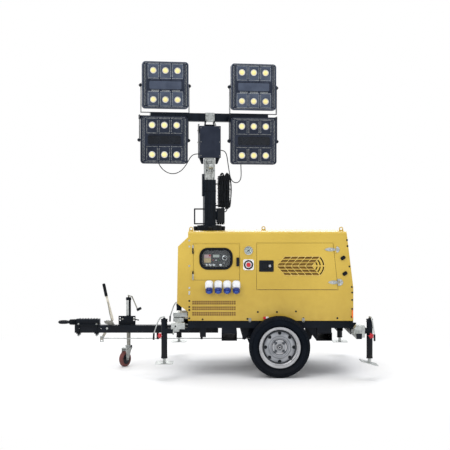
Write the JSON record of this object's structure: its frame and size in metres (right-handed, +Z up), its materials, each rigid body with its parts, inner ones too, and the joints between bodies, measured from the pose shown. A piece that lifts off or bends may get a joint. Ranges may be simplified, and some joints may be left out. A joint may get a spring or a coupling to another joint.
{
  "type": "towable lighting tower",
  "caption": "Single-axle trailer with a closed generator canopy, telescopic mast with tilting floodlights, drawbar with ring eye, jockey wheel and swing-down outrigger jacks.",
  "frame": {"origin": "on the ground at the middle of the footprint's length and width", "axes": "+X towards the rear, away from the tow eye; -Y the control side; +Z up"},
  "size_m": [3.1389, 1.9, 3.094],
  "materials": {
    "tyre_rubber": "moulded tread and sidewall",
    "wheel_silver": "silver wheel paint, road dust",
    "canopy_yellow": "satin powder coat, mustard yellow",
    "lamp_casting": "dark grey powder-coated casting",
    "lead_rubber": "matt rubber sheath",
    "socket_blue": "moulded blue lid",
    "socket_white": "moulded white housing",
    "button_red": "moulded red mushroom head",
    "zinc_steel": "galvanised",
    "lever_cream": "cream paint, worn",
    "panel_grey": "fine texture grey paint",
    "engine_grey": "painted casting",
    "latch_black": "textured black",
    "frame_black": "semi-gloss black paint"
  },
  "bodies": {
    "root": {"chassis_frame": "frame_black", "axle_and_springs": "frame_black", "drawbar": "frame_black", "jockey_tube": "zinc_steel", "canopy_shell": "canopy_yellow", "nose_cover": "canopy_yellow", "side_panel_near": "canopy_yellow", "side_panel_far": "canopy_yellow", "control_panel": "panel_grey", "sockets": "socket_white", "engine_set": "engine_grey"},
    "road_wheel_near": {"tyre_near": "tyre_rubber", "wheel_near": "wheel_silver"},
    "road_wheel_far": {"tyre_far": "tyre_rubber", "wheel_far": "wheel_silver"},
    "tow_shaft": {"tow_shaft": "zinc_steel"},
    "handbrake_lever": {"handbrake_lever": "lever_cream"},
    "brake_rod": {"brake_rod": "zinc_steel"},
    "jockey_stem": {"jockey_stem": "zinc_steel"},
    "jockey_crank": {"jockey_crank": "zinc_steel"},
    "jockey_fork": {"jockey_fork": "zinc_steel"},
    "jockey_wheel": {"jockey_wheel": "tyre_rubber"},
    "arm_front_near": {"arm_front_near": "zinc_steel"},
    "jack_front_near": {"jack_front_near": "frame_black"},
    "leg_front_near": {"leg_front_near": "frame_black"},
    "foot_front_near": {"foot_front_near": "zinc_steel"},
    "crank_front_near": {"crank_front_near": "zinc_steel"},
    "arm_front_far": {"arm_front_far": "zinc_steel"},
    "jack_front_far": {"jack_front_far": "frame_black"},
    "leg_front_far": {"leg_front_far": "frame_black"},
    "foot_front_far": {"foot_front_far": "zinc_steel"},
    "crank_front_far": {"crank_front_far": "zinc_steel"},
    "arm_rear_near": {"arm_rear_near": "zinc_steel"},
    "jack_rear_near": {"jack_rear_near": "frame_black"},
    "leg_rear_near": {"leg_rear_near": "frame_black"},
    "foot_rear_near": {"foot_rear_near": "zinc_steel"},
    "crank_rear_near": {"crank_rear_near": "zinc_steel"},
    "arm_rear_far": {"arm_rear_far": "zinc_steel"},
    "jack_rear_far": {"jack_rear_far": "frame_black"},
    "leg_rear_far": {"leg_rear_far": "frame_black"},
    "foot_rear_far": {"foot_rear_far": "zinc_steel"},
    "crank_rear_far": {"crank_rear_far": "zinc_steel"},
    "control_door": {"control_door": "canopy_yellow"},
    "side_door_near": {"side_door_near": "canopy_yellow"},
    "side_door_far": {"side_door_far": "canopy_yellow"},
    "door_paddle": {"door_paddle": "latch_black"},
    "stop_button": {"stop_button": "button_red"},
    "socket_lid_1": {"socket_lid_1": "socket_blue"},
    "socket_lid_2": {"socket_lid_2": "socket_blue"},
    "socket_lid_3": {"socket_lid_3": "socket_blue"},
    "socket_lid_4": {"socket_lid_4": "socket_blue"},
    "mast_outer": {"mast_outer": "frame_black"},
    "mast_middle": {"mast_middle": "zinc_steel"},
    "mast_head": {"mast_head": "frame_black", "lead_left": "lead_rubber", "lead_right": "lead_rubber"},
    "lamp_upper_left": {"lamp_upper_left": "lamp_casting"},
    "lamp_upper_right": {"lamp_upper_right": "lamp_casting"},
    "lamp_lower_left": {"lamp_lower_left": "lamp_casting"},
    "lamp_lower_right": {"lamp_lower_right": "lamp_casting"}
  },
  "joints": [
    {"name": "wheel_near_spin", "type": "hinge", "parent": "root", "child": "road_wheel_near", "pos_m": [0.65454, -0.6575, 0.292], "axis": [0, 1, 0], "continuous": true},
    {"name": "wheel_far_spin", "type": "hinge", "parent": "root", "child": "road_wheel_far", "pos_m": [0.65454, 0.6575, 0.292], "axis": [0, 1, 0], "continuous": true},
    {"name": "overrun_slide", "type": "slide", "parent": "root", "child": "tow_shaft", "axis": [1, 0, 0], "range_m": [0, 0.032], "stiffness_N_per_m": 4000},
    {"name": "handbrake", "type": "hinge", "parent": "root", "child": "handbrake_lever", "pos_m": [-1.06546, 0.053, 0.396], "axis": [0, -1, 0], "range_deg": [0, 50]},
    {"name": "brake_rod_slide", "type": "slide", "parent": "root", "child": "brake_rod", "axis": [1, 0, 0], "range_m": [0, 0.1095]},
    {"name": "jockey_lift", "type": "slide", "parent": "root", "child": "jockey_stem", "axis": [0, 0, 1], "range_m": [-0.12, 0.045]},
    {"name": "jockey_crank_turn", "type": "hinge", "parent": "root", "child": "jockey_crank", "pos_m": [-0.85746, 0.076, 0.704], "axis": [0, 0, 1], "range_deg": [-2165, 995]},
    {"name": "jockey_castor", "type": "hinge", "parent": "jockey_stem", "child": "jockey_fork", "pos_m": [-0.85746, 0.076, 0.214], "axis": [0, 0, 1], "continuous": true},
    {"name": "jockey_wheel_spin", "type": "hinge", "parent": "jockey_fork", "child": "jockey_wheel", "pos_m": [-0.88926, 0.02512, 0.078], "axis": [-0.848, 0.5299, 0], "continuous": true},
    {"name": "arm_slide_front_near", "type": "slide", "parent": "root", "child": "arm_front_near", "axis": [0, 1, 0], "range_m": [0, 0.12]},
    {"name": "jack_swivel_front_near", "type": "hinge", "parent": "arm_front_near", "child": "jack_front_near", "pos_m": [-0.43746, -0.8, 0.462], "axis": [-1, 0, 0], "range_deg": [0, 90]},
    {"name": "leg_slide_front_near", "type": "slide", "parent": "jack_front_near", "child": "leg_front_near", "axis": [0, 0, -1], "range_m": [0, 0.15]},
    {"name": "foot_tilt_front_near", "type": "hinge", "parent": "leg_front_near", "child": "foot_front_near", "pos_m": [-0.43746, -0.8, 0.188], "axis": [0, 1, 0], "range_deg": [-18, 18]},
    {"name": "crank_fold_front_near", "type": "hinge", "parent": "jack_front_near", "child": "crank_front_near", "pos_m": [-0.43746, -0.8, 0.592], "axis": [0, 1, 0], "range_deg": [0, 110]},
    {"name": "arm_slide_front_far", "type": "slide", "parent": "root", "child": "arm_front_far", "axis": [0, -1, 0], "range_m": [0, 0.12]},
    {"name": "jack_swivel_front_far", "type": "hinge", "parent": "arm_front_far", "child": "jack_front_far", "pos_m": [-0.37146, 0.8, 0.462], "axis": [1, 0, 0], "range_deg": [0, 90]},
    {"name": "leg_slide_front_far", "type": "slide", "parent": "jack_front_far", "child": "leg_front_far", "axis": [0, 0, -1], "range_m": [0, 0.15]},
    {"name": "foot_tilt_front_far", "type": "hinge", "parent": "leg_front_far", "child": "foot_front_far", "pos_m": [-0.37146, 0.8, 0.188], "axis": [0, 1, 0], "range_deg": [-18, 18]},
    {"name": "crank_fold_front_far", "type": "hinge", "parent": "jack_front_far", "child": "crank_front_far", "pos_m": [-0.37146, 0.8, 0.592], "axis": [0, 1, 0], "range_deg": [0, 110]},
    {"name": "arm_slide_rear_near", "type": "slide", "parent": "root", "child": "arm_rear_near", "axis": [0, 1, 0], "range_m": [0, 0.12]},
    {"name": "jack_swivel_rear_near", "type": "hinge", "parent": "arm_rear_near", "child": "jack_rear_near", "pos_m": [1.49454, -0.8, 0.462], "axis": [-1, 0, 0], "range_deg": [0, 90]},
    {"name": "leg_slide_rear_near", "type": "slide", "parent": "jack_rear_near", "child": "leg_rear_near", "axis": [0, 0, -1], "range_m": [0, 0.15]},
    {"name": "foot_tilt_rear_near", "type": "hinge", "parent": "leg_rear_near", "child": "foot_rear_near", "pos_m": [1.49454, -0.8, 0.188], "axis": [0, 1, 0], "range_deg": [-33, 3]},
    {"name": "crank_fold_rear_near", "type": "hinge", "parent": "jack_rear_near", "child": "crank_rear_near", "pos_m": [1.49454, -0.8, 0.592], "axis": [-0.9455, -0.3256, 0], "range_deg": [0, 110]},
    {"name": "arm_slide_rear_far", "type": "slide", "parent": "root", "child": "arm_rear_far", "axis": [0, -1, 0], "range_m": [0, 0.12]},
    {"name": "jack_swivel_rear_far", "type": "hinge", "parent": "arm_rear_far", "child": "jack_rear_far", "pos_m": [1.39654, 0.8, 0.462], "axis": [1, 0, 0], "range_deg": [0, 90]},
    {"name": "leg_slide_rear_far", "type": "slide", "parent": "jack_rear_far", "child": "leg_rear_far", "axis": [0, 0, -1], "range_m": [0, 0.15]},
    {"name": "foot_tilt_rear_far", "type": "hinge", "parent": "leg_rear_far", "child": "foot_rear_far", "pos_m": [1.39654, 0.8, 0.188], "axis": [0, 1, 0], "range_deg": [-18, 18]},
    {"name": "crank_fold_rear_far", "type": "hinge", "parent": "jack_rear_far", "child": "crank_rear_far", "pos_m": [1.39654, 0.8, 0.592], "axis": [0.9455, -0.3256, 0], "range_deg": [0, 60]},
    {"name": "control_door_hinge", "type": "hinge", "parent": "root", "child": "control_door", "pos_m": [-0.17446, -0.5663, 1.1], "axis": [0, 0, -1], "range_deg": [0, 115]},
    {"name": "side_door_near_hinge", "type": "hinge", "parent": "root", "child": "side_door_near", "pos_m": [1.20795, -0.5663, 1.06], "axis": [-0.1063, 0, 0.9943], "range_deg": [0, 110]},
    {"name": "side_door_far_hinge", "type": "hinge", "parent": "root", "child": "side_door_far", "pos_m": [1.20795, 0.5663, 1.06], "axis": [0.1063, 0, -0.9943], "range_deg": [0, 110]},
    {"name": "door_paddle_lift", "type": "hinge", "parent": "side_door_near", "child": "door_paddle", "pos_m": [0.49754, -0.561, 1.058], "axis": [0, 0, -1], "range_deg": [0, 45], "stiffness_Nm_per_rad": 0.6},
    {"name": "stop_button_press", "type": "slide", "parent": "root", "child": "stop_button", "axis": [0, 1, 0], "range_m": [0, 0.006], "stiffness_N_per_m": 600},
    {"name": "socket_lid_1_hinge", "type": "hinge", "parent": "root", "child": "socket_lid_1", "pos_m": [-0.01846, -0.64198, 0.83465], "axis": [-1, 0, 0], "range_deg": [0, 100], "stiffness_Nm_per_rad": 0.35, "springref_deg": -34.38},
    {"name": "socket_lid_2_hinge", "type": "hinge", "parent": "root", "child": "socket_lid_2", "pos_m": [0.06874, -0.64198, 0.83465], "axis": [-1, 0, 0], "range_deg": [0, 100], "stiffness_Nm_per_rad": 0.35, "springref_deg": -34.38},
    {"name": "socket_lid_3_hinge", "type": "hinge", "parent": "root", "child": "socket_lid_3", "pos_m": [0.15594, -0.64198, 0.83465], "axis": [-1, 0, 0], "range_deg": [0, 100], "stiffness_Nm_per_rad": 0.35, "springref_deg": -34.38},
    {"name": "socket_lid_4_hinge", "type": "hinge", "parent": "root", "child": "socket_lid_4", "pos_m": [0.24314, -0.64198, 0.83465], "axis": [-1, 0, 0], "range_deg": [0, 100], "stiffness_Nm_per_rad": 0.35, "springref_deg": -34.38},
    {"name": "mast_turn", "type": "hinge", "parent": "root", "child": "mast_outer", "pos_m": [-0.02546, 0, 1.392], "axis": [0, 0, 1], "range_deg": [-170, 170]},
    {"name": "mast_lift", "type": "slide", "parent": "mast_outer", "child": "mast_middle", "axis": [0, 0, 1], "range_m": [0, 1.2]},
    {"name": "mast_lift_inner", "type": "slide", "parent": "mast_middle", "child": "mast_head", "axis": [0, 0, 1], "range_m": [0, 1.2]},
    {"name": "lamp_upper_left_tilt", "type": "hinge", "parent": "mast_head", "child": "lamp_upper_left", "pos_m": [-0.47257, -0.07884, 2.858], "axis": [0.9848, 0.1736, 0], "range_deg": [-30, 60]},
    {"name": "lamp_upper_right_tilt", "type": "hinge", "parent": "mast_head", "child": "lamp_upper_right", "pos_m": [0.42164, 0.07884, 2.858], "axis": [0.9848, 0.1736, 0], "range_deg": [-30, 60]},
    {"name": "lamp_lower_left_tilt", "type": "hinge", "parent": "mast_head", "child": "lamp_lower_left", "pos_m": [-0.47594, -0.20941, 2.297], "axis": [0.9848, 0.1736, 0], "range_deg": [-5, 30]},
    {"name": "lamp_lower_right_tilt", "type": "hinge", "parent": "mast_head", "child": "lamp_lower_right", "pos_m": [0.41826, -0.05173, 2.297], "axis": [0.9848, 0.1736, 0], "range_deg": [-5, 30]}
  ],
  "couplings": [
    {"joint": "brake_rod_slide", "follows": "handbrake", "m_per_rad": 0.12492},
    {"joint": "jockey_crank_turn", "follows": "jockey_lift", "rad_per_m": 314.16},
    {"joint": "mast_lift_inner", "follows": "mast_lift", "ratio": 1}
  ]
}
